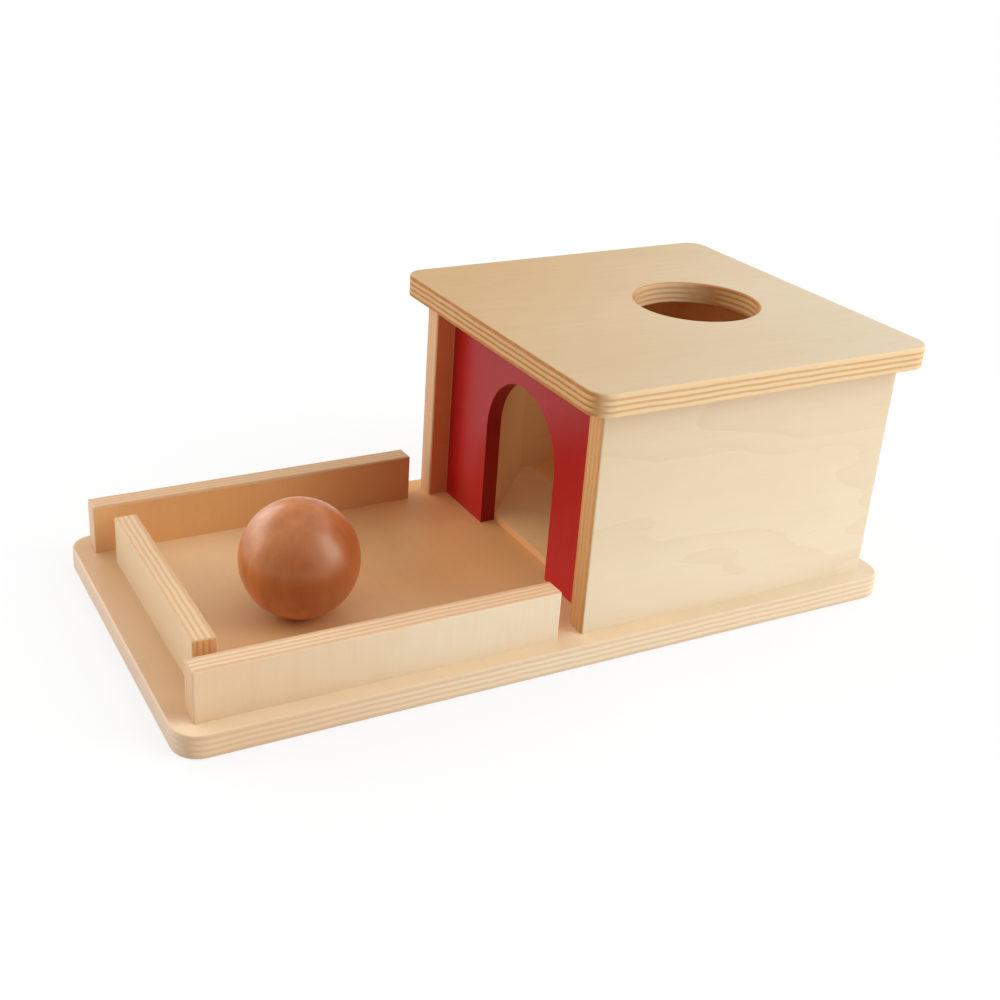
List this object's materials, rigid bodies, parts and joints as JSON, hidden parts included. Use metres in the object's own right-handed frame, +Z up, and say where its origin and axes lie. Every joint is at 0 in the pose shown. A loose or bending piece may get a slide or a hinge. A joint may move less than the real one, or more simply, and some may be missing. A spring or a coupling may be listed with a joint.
{
  "type": "object permanence box",
  "caption": "Wooden toy box on a base board: a ball dropped through the round hole in the lid rolls down a ramp and out of an arch into a railed tray.",
  "frame": {"origin": "under the middle of the base board, on the surface that it stands on", "axes": "+X from the tray end to the box end, +Y from the near side to the far side, +Z up"},
  "size_m": [0.296, 0.15, 0.107],
  "materials": {
    "birch_plywood": "clear satin lacquer",
    "inner_plywood": "clear satin lacquer",
    "red_paint": "satin red paint",
    "stained_wood": "brown stain under satin varnish",
    "dowel_wood": "raw"
  },
  "bodies": {
    "box": {"base_board": "birch_plywood", "near_wall": "birch_plywood", "far_wall": "birch_plywood", "front_panel": "red_paint", "back_panel": "birch_plywood", "lid_board": "birch_plywood", "ramp_board": "inner_plywood", "ramp_batten": "inner_plywood", "near_guide": "inner_plywood", "far_guide": "inner_plywood", "near_rail": "birch_plywood", "far_rail": "birch_plywood", "end_rail": "birch_plywood", "wall_dowels": "dowel_wood", "back_dowels": "dowel_wood", "lid_dowels": "dowel_wood", "side_rail_dowels": "dowel_wood", "end_rail_dowels": "dowel_wood"},
    "ball": {"ball": "stained_wood"}
  },
  "joints": [
    {"name": "ball_roll", "type": "slide", "parent": "box", "child": "ball", "axis": [0.9904, 0.1381, 0], "range_m": [-0.0205, 0.0945]}
  ]
}
